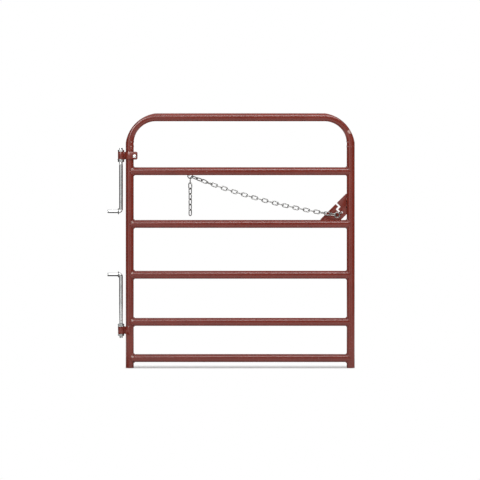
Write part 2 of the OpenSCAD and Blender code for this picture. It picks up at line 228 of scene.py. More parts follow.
def dress(piece, body, slot, material, *replaced):
    """Gives a finished piece its finish and its body, and hides the solids that it stands for."""
    piece.data.materials.clear()
    piece.data.materials.append(material)
    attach(piece, body)
    if replaced:
        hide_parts(*replaced)


# Shader helpers

# Sockets of the mix node that carry colours
MIX_FIRST, MIX_SECOND, MIX_RESULT = 6, 7, 2


def new_finish(name):
    """A new material with its node tree, its shader and the place on the object."""
    material = bpy.data.materials.new(name)
    material.use_nodes = True
    tree = material.node_tree
    shader = tree.nodes["Principled BSDF"]
    place = tree.nodes.new("ShaderNodeTexCoord")
    return material, tree, shader, place.outputs["Object"]


def noise(tree, place, scale, detail, roughness=0.5):
    """Noise with a scale in cycles per metre."""
    node = tree.nodes.new("ShaderNodeTexNoise")
    node.inputs["Scale"].default_value = scale
    node.inputs["Detail"].default_value = detail
    node.inputs["Roughness"].default_value = roughness
    tree.links.new(place, node.inputs["Vector"])
    return node.outputs["Fac"]


def ramp(tree, value, *stops):
    """A colour that goes from the first of two stops to the second."""
    node = tree.nodes.new("ShaderNodeValToRGB")
    for element, (position, colour) in zip(node.color_ramp.elements, stops):
        element.position = position
        element.color = (*colour, 1.0)
    tree.links.new(value, node.inputs["Fac"])
    return node.outputs["Color"]


def span(tree, value, low, high, to_low=0.0, to_high=1.0):
    """A value's range, stretched to another and clamped to it."""
    node = tree.nodes.new("ShaderNodeMapRange")
    node.inputs["From Min"].default_value = low
    node.inputs["From Max"].default_value = high
    node.inputs["To Min"].default_value = to_low
    node.inputs["To Max"].default_value = to_high
    tree.links.new(value, node.inputs["Value"])
    return node.outputs["Result"]


def mix_colour(tree, factor, first, second):
    """A blend of two colours, each a tuple or a socket."""
    node = tree.nodes.new("ShaderNodeMix")
    node.data_type = "RGBA"
    tree.links.new(factor, node.inputs["Factor"])
    for socket, colour in ((node.inputs[MIX_FIRST], first), (node.inputs[MIX_SECOND], second)):
        if isinstance(colour, tuple):
            socket.default_value = (*colour, 1.0)
        else:
            tree.links.new(colour, socket)
    return node.outputs[MIX_RESULT]


def calc(tree, operation, first, second=0.0):
    """The result of an operation on two values, each a number or a socket."""
    node = tree.nodes.new("ShaderNodeMath")
    node.operation = operation
    for socket, value in zip(node.inputs, (first, second)):
        if isinstance(value, float):
            socket.default_value = value
        else:
            tree.links.new(value, socket)
    return node.outputs[0]


def near_point(tree, place, point, reach):
    """One at a point of the gate, falling to nothing at its reach."""
    node = tree.nodes.new("ShaderNodeVectorMath")
    node.operation = "DISTANCE"
    node.inputs[1].default_value = point
    tree.links.new(place, node.inputs[0])
    return span(tree, node.outputs["Value"], 0.0, reach, 1.0, 0.0)


def bump(tree, shader, height, strength, depth):
    """Relief on a shader from a height."""
    node = tree.nodes.new("ShaderNodeBump")
    node.inputs["Strength"].default_value = strength
    node.inputs["Distance"].default_value = depth
    tree.links.new(height, node.inputs["Height"])
    tree.links.new(node.outputs["Normal"], shader.inputs["Normal"])


def seen_directly(tree):
    """One for rays from the camera, and for those that a reflection or a clear piece sends on."""
    rays = tree.nodes.new("ShaderNodeLightPath")
    seen = calc(tree, "MAXIMUM", rays.outputs["Is Camera Ray"], rays.outputs["Is Glossy Ray"])
    return calc(tree, "MAXIMUM", seen, rays.outputs["Is Transmission Ray"])


# Finishes: scales in cycles per metre, and from and to are the part of the noise that takes effect

PAINT_DARK = (0.128, 0.0140, 0.0068)
PAINT_LIGHT = (0.153, 0.0176, 0.0090)
PAINT_DUSTY = (0.177, 0.0295, 0.0196)
# Pale bare-metal colour: used for the real chips and for the painted highlights
PAINT_BARE_AND_GLINT = (0.42, 0.30, 0.27)
CLOUD_SCALE, CLOUD_FROM, CLOUD_TO = 11.0, 0.32, 0.68
DUST_SCALE, DUST_FROM, DUST_TO, DUST_SHARE = 130.0, 0.35, 0.75, 0.22
CHIP_SCALE, CHIP_FROM, CHIP_TO = 85.0, 0.705, 0.735
GRIT_SCALE, GRIT_FROM, GRIT_TO = 260.0, 0.42, 0.55
GLINT_FROM, GLINT_TO = 0.15, 0.35
SHEEN_FROM, SHEEN_TO, SHEEN_SPREAD = 0.3, 0.7, 0.12
PEEL_SCALE, PEEL_STRENGTH, PEEL_DEPTH = 520.0, 0.03, 0.0005

ZINC_STAINED = (0.30, 0.285, 0.26)
ZINC_SCALE, ZINC_FROM, ZINC_TO = 55.0, 0.34, 0.66
STAIN_SCALE, STAIN_FROM, STAIN_TO, STAIN_SHARE = 23.0, 0.58, 0.72, 0.35
GRAIN_FROM, GRAIN_TO, GRAIN_STRENGTH, GRAIN_DEPTH = 0.3, 0.7, 0.15, 0.0002
FASTENER_GRAIN = 420.0
CHAIN_GRAIN = 700.0
GAP_SHADE_GRAIN = 300.0

# Places where pale spots are painted as highlights, each with its reach
GLINT_SPOTS = (
    # painted highlight on the outside of the latch-side bend
    ((0.6147, -0.0246, 1.2256), 0.016),
    # painted highlights on the press marks at the feet of the bends
    ((-0.5176, -0.0243, 1.1700), 0.006),
    ((-0.5170, -0.0242, 1.1480), 0.005),
    ((-0.5178, -0.0243, 1.1385), 0.004),
    ((0.6050, -0.0190, 1.1710), 0.005),
    ((0.6050, -0.0190, 1.1470), 0.004),
    # painted highlights on the weld of the lower strap
    ((-0.5330, -0.0250, 0.2140), 0.007),
    ((-0.5270, -0.0262, 0.2120), 0.006),
    # painted highlights on the rail welds on the hinge stile, in front and above
    *(((-0.5115, -0.0240, z + 0.0090), 0.0085) for z in RAIL_Z),
    *(((-0.5140, -0.0120, z + 0.0205), 0.0070) for z in RAIL_Z),
)


def red_paint(name, dull, shine):
    """Semi-gloss oxide red powder coat: orange peel, faint cloudiness, a few chips, and pale spots
    painted as highlights on welds and press marks.
    """
    material, tree, shader, place = new_finish(name)
    cloud = noise(tree, place, CLOUD_SCALE, detail=4.0)
    tone = ramp(tree, cloud, (CLOUD_FROM, PAINT_DARK), (CLOUD_TO, PAINT_LIGHT))
    fine = noise(tree, place, DUST_SCALE, detail=3.0)
    dust = span(tree, fine, DUST_FROM, DUST_TO, 0.0, DUST_SHARE)
    tone = mix_colour(tree, dust, tone, PAINT_DUSTY)
    chip = span(tree, noise(tree, place, CHIP_SCALE, detail=5.0, roughness=0.6), CHIP_FROM, CHIP_TO)
    # Painted highlights: pale spots at the listed places, broken up by grit
    glint_mask = 0.0
    for spot, reach in GLINT_SPOTS:
        glint_mask = calc(tree, "MAXIMUM", glint_mask, near_point(tree, place, spot, reach))
    grit = span(tree, noise(tree, place, GRIT_SCALE, detail=4.0), GRIT_FROM, GRIT_TO)
    painted_glint = span(tree, calc(tree, "MULTIPLY", glint_mask, grit), GLINT_FROM, GLINT_TO)
    # Real chips and painted highlights together take the pale colour and sink the relief
    chips_and_glints = calc(tree, "MAXIMUM", chip, painted_glint)
    tone = mix_colour(tree, chips_and_glints, tone, PAINT_BARE_AND_GLINT)
    tree.links.new(tone, shader.inputs["Base Color"])
    sheen = span(tree, fine, SHEEN_FROM, SHEEN_TO, dull, dull + SHEEN_SPREAD)
    tree.links.new(sheen, shader.inputs["Roughness"])
    peel = noise(tree, place, PEEL_SCALE, detail=2.0)
    bump(tree, shader, calc(tree, "SUBTRACT", peel, chips_and_glints), PEEL_STRENGTH, PEEL_DEPTH)
    shader.inputs["Specular IOR Level"].default_value = shine
    return material


def zinc_plate(name, dark, light, rough, grain=FASTENER_GRAIN):
    """Metal skin: cloudy between two tones, with stains and a fine grain."""
    material, tree, shader, place = new_finish(name)
    cloud = noise(tree, place, ZINC_SCALE, detail=4.0)
    tone = ramp(tree, cloud, (ZINC_FROM, dark), (ZINC_TO, light))
    fine = noise(tree, place, grain, detail=3.0)
    blotch = noise(tree, place, STAIN_SCALE, detail=5.0, roughness=0.65)
    stain = span(tree, blotch, STAIN_FROM, STAIN_TO, 0.0, STAIN_SHARE)
    tone = mix_colour(tree, stain, tone, ZINC_STAINED)
    tree.links.new(tone, shader.inputs["Base Color"])
    tree.links.new(span(tree, fine, GRAIN_FROM, GRAIN_TO, *rough), shader.inputs["Roughness"])
    bump(tree, shader, fine, GRAIN_STRENGTH, GRAIN_DEPTH)
    shader.inputs["Metallic"].default_value = 1.0
    return material


paint = red_paint("red_paint", dull=0.17, shine=0.56)
weld_paint = red_paint("weld_paint", dull=0.16, shine=0.6)
fastener_zinc = zinc_plate(
    "fastener_zinc", dark=(0.64, 0.65, 0.65), light=(0.84, 0.85, 0.84), rough=(0.07, 0.14))
# Painted shade: a darker copy of the fastener zinc for the three nuts that lie in shade beside the eyes
nut_zinc = zinc_plate(
    "nut_zinc", dark=(0.36, 0.37, 0.37), light=(0.52, 0.53, 0.52), rough=(0.22, 0.32))
# Painted highlight: a lighter copy of the zinc for the clamp bolt's pieces, so that its head shows white
lit_clamp_zinc = zinc_plate(
    "lit_clamp_zinc", dark=(0.80, 0.81, 0.81), light=(0.92, 0.93, 0.92), rough=(0.34, 0.46))
# Painted shade: a near-black zinc for the shoulder collars, standing for the shadow at the elbow of each
# hinge bolt
shaded_collar_zinc = zinc_plate(
    "shaded_collar_zinc", dark=(0.12, 0.12, 0.12), light=(0.22, 0.22, 0.215), rough=(0.20, 0.30))
chain_zinc = zinc_plate(
    "chain_zinc", dark=(0.23, 0.23, 0.225), light=(0.38, 0.38, 0.37), rough=(0.14, 0.24),
    grain=CHAIN_GRAIN)
# Painted shade: a near-black finish for the beads that stand for the shade in the unwelded gaps of the
# plate's seam
gap_shade = zinc_plate(
    "gap_shade", dark=(0.010, 0.006, 0.005), light=(0.026, 0.014, 0.011), rough=(0.55, 0.7),
    grain=GAP_SHADE_GRAIN)


# Outer frame: one tube, bent at both top corners

# The flattened outer side of a bend, and the press marks at its foot by height and depth
CROWN_R = TUBE_R * 1.65
FLAT_CLEAR = 0.0005
FLAT_SOFT = 0.0006
FLAT_REACH = 8 * FLAT_SOFT
PRESS_MARKS = ((1.1748, 0.0013), (1.1620, -0.0007), (1.1493, 0.0011))
PRESS_LEN = 0.0034
PRESS_TURN = 0.75
PRESS_ZONE = 0.032
PRESS_RINGS = 16


def flat_side(point, bend_x, side):
    """Sinks a point of a bend to the flattened outer side of that bend."""
    end_r = BEND_R + TUBE_R + FLAT_CLEAR
    mid_r = BEND_R + TUBE_R - BEND_FLAT
    shift = (end_r ** 2 - mid_r ** 2) / (2 * mid_r - math.sqrt(2) * end_r)
    ring_r = mid_r + shift - CROWN_R
    diagonal = shift * math.sqrt(0.5)
    centre = Vector((bend_x - side * diagonal, MID_Y, TOP_Z - BEND_R - diagonal))
    away = point - centre
    ring = centre + Vector((away.x, 0, away.z)).normalized() * ring_r
    spoke = point - ring
    over = spoke.length - CROWN_R
    if over <= -FLAT_REACH:
        return point
    drop = 0.5 * (over + math.sqrt(over * over + 4 * FLAT_SOFT * FLAT_SOFT))
    drop -= FLAT_SOFT * FLAT_SOFT / (abs(over) + FLAT_SOFT)
    return point - spoke.normalized() * max(drop, 0)


def wrinkle(point, stile_x, side):
    """Height of the small press marks on the inside of a bend's foot."""
    lift = 0.0
    for z, height in PRESS_MARKS:
        along = (point.z - z) / PRESS_LEN
        around = math.atan2(point.y - MID_Y, -side * (point.x - stile_x))
        lift += height * math.exp(-along * along) * math.exp(-(around / PRESS_TURN) ** 2)
    return lift


def frame_tube():
    """Pushed up from the hinge stile's foot, round both bends and down the latch stile."""
    bend_z = TOP_Z - BEND_R
    plain = bend_z - PRESS_ZONE
    ring = PRESS_ZONE / PRESS_RINGS
    clear_selection()
    bpy.ops.mesh.primitive_circle_add(vertices=TUBE_SIDES, radius=TUBE_R, location=(LEFT_X, MID_Y, 0))
    tube = take_new("frame_tube")
    edit_mode()
    push_edges((0, 0, plain))
    for _ in range(PRESS_RINGS):
        push_edges((0, 0, ring))
    bend_edges(BEND_STEPS, (LEFT_X + BEND_R, MID_Y, bend_z))
    push_edges((RIGHT_X - LEFT_X - 2 * BEND_R, 0, 0))
    bend_edges(BEND_STEPS, (RIGHT_X - BEND_R, MID_Y, bend_z))
    for _ in range(PRESS_RINGS):
        push_edges((0, 0, -ring))
    push_edges((0, 0, -plain))
    close_skin()
    object_mode()
    for vertex in tube.data.vertices:
        for side, stile_x in ((-1, LEFT_X), (1, RIGHT_X)):
            bend_x = stile_x - side * BEND_R
            here = vertex.co.copy()
            if side * (here.x - bend_x) <= 0:
                continue
            if here.z > bend_z:
                vertex.co = flat_side(here, bend_x, side)
            vertex.co.x -= side * wrinkle(here, stile_x, side)
    give_wall(tube)
    smooth(tube, SMOOTH_TUBE)
    dress(tube, "gate_leaf", "red_paint", paint, "outer_frame")


frame_tube()


# Cross rails: one coped tube, set at five heights


def cross_rails():
    middle = (LEFT_X + RIGHT_X) / 2
    clear_selection()
    bpy.ops.mesh.primitive_cylinder_add(
        vertices=TUBE_SIDES, radius=TUBE_R, depth=RIGHT_X - LEFT_X, end_fill_type="NOTHING",
        location=(middle, MID_Y, RAIL_Z[0]), rotation=(0, QUARTER, 0))
    rail = take_new("rail_tube_1")
    for vertex in rail.data.vertices:
        side = 1 if vertex.co.x > middle else -1
        stile_x = RIGHT_X if side > 0 else LEFT_X
        off = min(abs(vertex.co.y - MID_Y), TUBE_R)
        vertex.co.x = stile_x - side * math.sqrt(COPE_R ** 2 - off ** 2)
    give_wall(rail)
    smooth(rail, SMOOTH_TUBE)
    for i in range(1, len(RAIL_Z)):
        copy = twin(rail, "rail_tube_%d" % (i + 1), Matrix.Translation((0, 0, RAIL_Z[i] - RAIL_Z[0])))
        dress(copy, "gate_leaf", "red_paint", paint, "cross_rail_%d" % (i + 1))
    dress(rail, "gate_leaf", "red_paint", paint, "cross_rail_1")


cross_rails()


# Straps and plate with their edges eased: angles in degrees, and the widths of the eased edges

FLAT_ANGLE = 0.4
BAR_EDGE_ANGLE = 40
STRAP_EDGE = 0.0007
PLATE_EDGE = 0.0005


def eased_copy(node, name, width):
    """The solid's own shape with its sharp edges rounded over."""
    mesh = nodes[node].data.copy()
    mesh.name = name
    piece = put_in_scene(name, mesh)
    select_only(piece)
    edit_mode()
    bpy.ops.mesh.select_all(action="SELECT")
    bpy.ops.mesh.remove_doubles(threshold=SAME_POINT)
    bpy.ops.mesh.dissolve_limited(angle_limit=math.radians(FLAT_ANGLE))
    object_mode()
    ease_edges(piece, width, segments=2, angle=BAR_EDGE_ANGLE)
    smooth(piece, SMOOTH_BAR)
    return piece


def straps_and_plate():
    for node, name, width in (
        ("upper_hinge_strap", "upper_strap", STRAP_EDGE),
        ("lower_hinge_strap", "lower_strap", STRAP_EDGE),
        ("latch_plate", "corner_plate", PLATE_EDGE),
    ):
        dress(eased_copy(node, name, width), "gate_leaf", "red_paint", paint, node)


straps_and_plate()


# Hinge bolts: a bent rod with a cut thread, and a shoulder collar as a piece of its own

RIM_ANGLE = 60
CORE_RIM = 0.0012
CORE_LAP = 0.001
COLLAR_RIM = 0.0009
THREAD_CREST = (0.42, 0.58)


def thread(name, radius, pitch, turns, depth, start):
    """A helix with flat crests, cut along Z from a start point."""
    clear_selection()
    bpy.ops.mesh.primitive_circle_add(vertices=4, radius=pitch)
    piece = take_new(name)
    root = radius - depth
    crest_from, crest_to = THREAD_CREST
    flank = ((root, 0.0), (radius, crest_from), (radius, crest_to), (root, 1.0))
    closing = {0, 3}
    for vertex, (out, rise) in zip(piece.data.vertices, flank):
        vertex.co = (out, 0, rise * pitch)
    edit_mode()
    bpy.ops.mesh.select_all(action="DESELECT")
    bpy.ops.mesh.select_mode(type="EDGE")
    object_mode()
    for edge in piece.data.edges:
        edge.select = set(edge.vertices) == closing
    edit_mode()
    bpy.ops.mesh.delete(type="EDGE")
    object_mode()
    cut = piece.modifiers.new("cut", "SCREW")
    cut.axis = "Z"
    cut.angle = 2 * math.pi
    cut.screw_offset = pitch
    cut.iterations = turns
    cut.steps = THREAD_SIDES
    cut.render_steps = THREAD_SIDES
    cut.use_merge_vertices = True
    cut.merge_threshold = SAME_POINT
    apply_all(piece)
    edit_mode()
    bpy.ops.mesh.select_all(action="SELECT")
    bpy.ops.mesh.normals_make_consistent(inside=False)
    object_mode()
    piece.data.transform(Matrix.Translation(start))
    return piece


def rounded_disc(name, radius, height, place, turn, width):
    """A short turned cylinder with eased rims."""
    clear_selection()
    bpy.ops.mesh.primitive_cylinder_add(
        vertices=ROD_SIDES, radius=radius, depth=height, location=place, rotation=turn)
    piece = take_new(name)
    ease_edges(piece, width, segments=3, angle=RIM_ANGLE)
    return piece


def hinge_rod():
    """The bolt at the upper eye: a shank bent to a leg, and a core with the thread cut on it."""
    eye = Vector((HINGE_X, MID_Y, UPPER_EYE_Z))
    thread_start = eye + Vector((0, 0, THREAD_END))
    clear_selection()
    bpy.ops.mesh.primitive_circle_add(vertices=ROD_SIDES, radius=ROD_R, location=thread_start)
    rod = take_new("upper_hinge_rod")
    edit_mode()
    push_edges((0, 0, LEG_DROP + ELBOW_R - THREAD_END))
    bend_edges(ELBOW_STEPS, eye + Vector((-ELBOW_R, 0, LEG_DROP + ELBOW_R)))
    push_edges((ELBOW_R - LEG_LEN, 0, 0))
    bpy.ops.mesh.edge_face_add()
    close_skin()
    object_mode()
    ease_edges(rod, ROD_CHAMFER, segments=2, angle=RIM_ANGLE)
    core_len = ROD_TIP - THREAD_END + CORE_LAP
    core_mid = eye + Vector((0, 0, ROD_TIP - core_len / 2))
    core = rounded_disc("core", ROD_R - THREAD_DEPTH, core_len, core_mid, (0, 0, 0), CORE_RIM)
    turns = int((ROD_TIP - ROD_CHAMFER - THREAD_END) / THREAD_PITCH)
    helix = thread("helix", ROD_R, THREAD_PITCH, turns, THREAD_DEPTH, thread_start)
    rod = join([rod, core, helix])
    smooth(rod, SMOOTH_TURNED)
    return rod


def shoulder_collar():
    """The forged collar where the bolt's leg begins, at the upper bolt."""
    place = Vector((HINGE_X - ELBOW_R - COLLAR_T / 2, MID_Y, UPPER_EYE_Z + LEG_DROP))
    collar = rounded_disc(
        "upper_hinge_collar", COLLAR_R, COLLAR_T, place, (0, QUARTER, 0), COLLAR_RIM)
    smooth(collar, SMOOTH_TURNED)
    return collar


def hinge_bolts():
    """The upper bolt, and the lower one as its twin, turned upside down."""
    to_lower = (Matrix.Translation((HINGE_X, MID_Y, LOWER_EYE_Z)) @ Matrix.Rotation(math.pi, 4, "X")
                @ Matrix.Translation((-HINGE_X, -MID_Y, -UPPER_EYE_Z)))
    upper_rod = hinge_rod()
    lower_rod = twin(upper_rod, "lower_hinge_rod", to_lower)
    upper_collar = shoulder_collar()
    lower_collar = twin(upper_collar, "lower_hinge_collar", to_lower)
    # painted shade: the collars take the near-black zinc
    dress(upper_collar, "upper_bolt", "zinc_fastener", shaded_collar_zinc)
    dress(lower_collar, "lower_bolt", "zinc_fastener", shaded_collar_zinc)
    dress(upper_rod, "upper_bolt", "zinc_fastener", fastener_zinc, "upper_hinge_bolt")
    dress(lower_rod, "lower_bolt", "zinc_fastener", fastener_zinc, "lower_hinge_bolt")


hinge_bolts()


# Latch chain: one welded link, copied along the hanging curve and down the tail

# The swelling of a link's butt weld, with a higher crest in its middle
BUTT_CUTS = (-0.0032, -0.0016, 0.0016, 0.0032)
BUTT_HALF, BUTT_SWELL = 0.002, 1.09
CREST_HALF, CREST_SWELL = 0.0008, 1.13


def link_model():
    """A link bent from wire, with the small swelling of its butt weld on one side."""
    clear_selection()
    bpy.ops.mesh.primitive_torus_add(
        major_segments=LINK_SEGMENTS, minor_segments=WIRE_SIDES,
        major_radius=LINK_HALF_W, minor_radius=WIRE_R)
    link = take_new("link_model")
    for vertex in link.data.vertices:
        if abs(vertex.co.x) > SAME_POINT:
            vertex.co.x += math.copysign(LINK_STRAIGHT / 2, vertex.co.x)
    edit_mode()
    for away in BUTT_CUTS:
        bpy.ops.mesh.select_all(action="SELECT")
        bpy.ops.mesh.bisect(plane_co=(away, 0, 0), plane_no=(1, 0, 0))
    object_mode()
    for vertex in link.data.vertices:
        if vertex.co.y > 0 and abs(vertex.co.x) < BUTT_HALF:
            swell = CREST_SWELL if abs(vertex.co.x) < CREST_HALF else BUTT_SWELL
            vertex.co.y = LINK_HALF_W + (vertex.co.y - LINK_HALF_W) * swell
            vertex.co.z *= swell
    link.data.transform(Matrix.Rotation(QUARTER, 4, "X"))
    smooth(link, SMOOTH_ROUND)
    return link


def swag_point(t):
    """A point of the hanging curve, from the keeper ring at 0 to the anchor at 1."""
    return SWAG_FROM.lerp(SWAG_TO, t) - Vector((0, 0, 4 * SWAG_SAG * t * (1 - t)))


def turned(roll, pitch, yaw):
    return Matrix.Rotation(yaw, 4, "Z") @ Matrix.Rotation(pitch, 4, "Y") @ Matrix.Rotation(roll, 4, "X")


def swag_places():
    """Places of the hanging links, measured out along the curve."""
    runs = [0.0]
    for i in range(SWAG_STEPS):
        runs.append(runs[-1] + (swag_point((i + 1) / SWAG_STEPS) - swag_point(i / SWAG_STEPS)).length)
    play = (SWAG_LINKS * LINK_LEN - HOLD - runs[-1]) / (SWAG_LINKS + 1)
    for i in range(SWAG_LINKS):
        run = LINK_LEN / 2 - RING_WIRE_R - play + i * (LINK_LEN - play)
        step = max(k for k in range(SWAG_STEPS) if runs[k] <= run)
        t = (step + (run - runs[step]) / (runs[step + 1] - runs[step])) / SWAG_STEPS
        way = swag_point(t + 1 / SWAG_STEPS) - swag_point(t - 1 / SWAG_STEPS)
        roll = 90 * (SWAG_LINKS - i) + FIRST_TURN * max(0, 1 - i / TURN_LINKS)
        roll += LAST_TURN * max(0, 1 - (SWAG_LINKS - 1 - i) / TURN_LINKS)
        yield Matrix.Translation(swag_point(t)) @ turned(
            math.radians(roll), math.atan2(-way.z, math.hypot(way.x, way.y)), math.atan2(way.y, way.x))


def tail_place(i):
    """Place of a loose link, counted from 1 at the top."""
    drop = TAIL_DROP + (i - 1) * TAIL_PITCH
    roll = 90 * (i % 2) + TAIL_TURN * min(1, (i - 1) / TAIL_TURN_LINKS)
    return Matrix.Translation(TAIL_TOP - Vector((0, 0, drop))) @ turned(math.radians(roll), QUARTER, 0)


def latch_chain():
    model = link_model()
    swag = join([twin(model, "swag_link", place) for place in swag_places()])
    swag.name = "hanging_chain"
    dress(swag, "swag", "zinc_chain", chain_zinc, "chain_swag")
    for i in range(1, TAIL_LINKS + 1):
        link = twin(model, "loose_link_%d" % i, tail_place(i))
        dress(link, "tail_%d" % i, "zinc_chain", chain_zinc, "tail_link_%d" % i)
    bpy.data.objects.remove(model)


latch_chain()


# Welds

# Open beads: spacing of their points, least height of their ends and the ripple along them
BEAD_STEP = 0.0008
BEAD_END = 0.05
RIPPLE, RIPPLE_LEN = 0.12, 0.0032

# Beads round the rails' ends: radii above and below, and in front at either stile
COPE_POINTS = 220
COPE_FULL_R = 0.0046
COPE_HINGE_R = 0.0026
COPE_LATCH_R = 0.0019
COPE_RISE = 1.5
COPE_RIPPLE, COPE_RIPPLE_POINTS = 0.13, 4.0
COPE_WAVE, COPE_WAVES, COPE_SHIFT = 0.12, 3, 2.1

# Beads of the lower strap: round the stile, by angles in degrees, and down the ends of its legs
ARC_STEP = 6
ARC_FRONT = (212, 276)
ARC_BACK = (148, 84)
ARC_OUT, ARC_BEAD_R = 0.0012, 0.0026
LEG_OFF, LEG_OUT, LEG_HALF, LEG_BEAD_R = 0.0036, 0.0008, 0.017, 0.0028

# Beads of the latch plate: heights on the seam, and runs measured from the corner of rail and stile
SEAM_ENDS = (0.8090, 0.9000)
# dark beads at these heights are painted shade in the unwelded gaps of the seam
GAPS = ((0.8275, 0.8365), (0.8480, 0.8540), (0.8610, 0.8670), (0.8860, 0.8900))
GAP_R = 0.0028
STITCH_R = 0.0050
PLATE_BEAD_R = 0.0022
FOOT_WELD = (0.126, 0.042)
SIDE_WELD = (0.04, 0.126)


def bead(name, path, radii, closed, finish):
    """A weld bead along a path, thick and thin by turns where each puddle froze."""
    curve = bpy.data.curves.new(name, "CURVE")
    curve.dimensions = "3D"
    curve.bevel_depth = 1.0
    curve.bevel_resolution = BEAD_ROUNDNESS
    curve.use_fill_caps = True
    line = curve.splines.new("POLY")
    line.points.add(len(path) - 1)
    for point, place, radius in zip(line.points, path, radii):
        point.co = (*place, 1.0)
        point.radius = radius
    line.use_cyclic_u = closed
    select_only(put_in_scene(name, curve))
    bpy.ops.object.convert(target="MESH")
    piece = bpy.context.object
    smooth(piece, SMOOTH_ROUND)
    dress(piece, "gate_leaf", "red_paint", finish)


def run_bead(name, corners, radius, finish=weld_paint):
    """An open bead along straight runs, with rounded ends and rippled puddles."""
    path, radii = [], []
    length = sum((b - a).length for a, b in zip(corners, corners[1:]))
    done = 0.0
    for a, b in zip(corners, corners[1:]):
        steps = max(2, int((b - a).length / BEAD_STEP))
        for i in range(steps):
            along = done + (b - a).length * i / steps
            path.append(a.lerp(b, i / steps))
            end = min(along, length - along) / radius
            dome = math.sqrt(max(BEAD_END, 1 - (1 - min(end, 1.0)) ** 2))
            radii.append(radius * dome * (1 + RIPPLE * math.sin(2 * math.pi * along / RIPPLE_LEN)))
        done += (b - a).length
    bead(name, path, radii, False, finish)


def cope_weld(rail, side):
    """Bead round the coped end of a rail, fullest above and below and fuller at the hinge stile."""
    stile_x = RIGHT_X if side > 0 else LEFT_X
    front_r = COPE_LATCH_R if side > 0 else COPE_HINGE_R
    path, radii = [], []
    for i in range(COPE_POINTS):
        turn = 2 * math.pi * i / COPE_POINTS
        y = TUBE_R * math.cos(turn)
        z = TUBE_R * math.sin(turn)
        corner = abs(math.sin(turn))
        path.append((stile_x - side * TUBE_R * corner, MID_Y + y, RAIL_Z[rail] + z))
        puddle = 1 + COPE_RIPPLE * math.sin(2 * math.pi * i / COPE_RIPPLE_POINTS)
        puddle += COPE_WAVE * math.sin(turn * COPE_WAVES + rail * COPE_SHIFT + side)
        radii.append((front_r + (COPE_FULL_R - front_r) * corner ** COPE_RISE) * puddle)
    name = "rail_weld_%d_%s" % (rail + 1, "latch" if side > 0 else "hinge")
    bead(name, path, radii, True, weld_paint)


def stile_arc(z, start, end):
    """Points round the hinge stile at a height, from one angle to another, seen from above."""
    out = TUBE_R + ARC_OUT
    return [Vector((LEFT_X + out * math.cos(math.radians(a)), MID_Y + out * math.sin(math.radians(a)), z))
            for a in range(start, end, ARC_STEP if end > start else -ARC_STEP)]


def strap_welds():
    """Beads along the lower strap's two edges, and down the ends of its legs."""
    for end, z in (("top", LOWER_EYE_Z + STRAP_H / 2), ("foot", LOWER_EYE_Z - STRAP_H / 2)):
        run_bead("strap_weld_front_%s" % end, stile_arc(z, *ARC_FRONT), ARC_BEAD_R)
        run_bead("strap_weld_back_%s" % end, stile_arc(z, *ARC_BACK), ARC_BEAD_R)
    leg_x = LEFT_X + LEG_OFF
    for face, y in (("front", MID_Y - TUBE_R - LEG_OUT), ("back", MID_Y + TUBE_R + LEG_OUT)):
        run_bead(
            "strap_weld_%s" % face,
            [Vector((leg_x, y, LOWER_EYE_Z - LEG_HALF)), Vector((leg_x, y, LOWER_EYE_Z + LEG_HALF))],
            LEG_BEAD_R)


def plate_welds():
    """The plate's seam at the stile, stitched, with near-black beads in the gaps between that are painted
    shade, and its beads at rail and back.
    """
    front_y, back_y = MID_Y - PLATE_T / 2, MID_Y + PLATE_T / 2
    seam = Vector((PLATE_X, front_y, 0))
    root = seam + Vector((0, PLATE_T / 2, 0))
    # painted shade: near-black beads in the gaps between the stitches
    for i, (low, high) in enumerate(GAPS):
        run_bead("plate_gap_%d" % (i + 1),
                 [seam + Vector((0, 0, low)), seam + Vector((0, 0, high))], GAP_R, gap_shade)
    stops = [SEAM_ENDS[0], *(z for gap in GAPS for z in gap), SEAM_ENDS[1]]
    for i, (low, high) in enumerate(zip(stops[::2], stops[1::2])):
        run_bead("plate_stitch_%d" % (i + 1),
                 [root + Vector((0, 0, low)), root + Vector((0, 0, high))], STITCH_R, paint)
    for face, y in (("front", front_y), ("back", back_y)):
        run_bead("plate_foot_weld_%s" % face,
                 [Vector((PLATE_X - off, y, PLATE_Z)) for off in FOOT_WELD], PLATE_BEAD_R)
    run_bead("plate_side_weld_back",
             [Vector((PLATE_X, back_y, PLATE_Z + up)) for up in SIDE_WELD], PLATE_BEAD_R)


for rail in range(len(RAIL_Z)):
    for side in (-1, 1):
        cope_weld(rail, side)
strap_welds()
plate_welds()


# Finishes of the solids that show as they are


def finish_solids():
    slots = {part["node"]: part["material_slot"] for part in frame["record"]["subparts"]}
    by_slot = {"red_paint": paint, "zinc_fastener": fastener_zinc, "zinc_chain": chain_zinc}
    for name, item in nodes.items():
        finish = by_slot[slots[name]]
        # painted shade: every nut but the upper outer one takes the darker zinc
        if name.endswith("_nut") and name != "upper_outer_nut":
            finish = nut_zinc
        # painted highlight: the clamp pieces take the lighter zinc
        if name.startswith("clamp_"):
            finish = lit_clamp_zinc
        item.data.materials.clear()
        item.data.materials.append(finish)


finish_solids()


# Floor, light and camera

# Painted shadow: the floor is darker in a strip under the gate, which fades out along X and Y
WHITE = (1, 1, 1, 1)
FLOOR_SIZE = 60
FLOOR_Z = -0.0002
FLOOR_SHADOW_TONE = (0.62, 0.62, 0.62)
FLOOR_FAR = (0.9, 0.9, 0.9)
FLOOR_ROUGH = 0.9
SHADOW_X, SHADOW_Y = 0.0475, 0.05
FADE_X = (0.575, 0.605)
FADE_Y = (0.05, 0.14)
WORLD_STRENGTH = 0.88

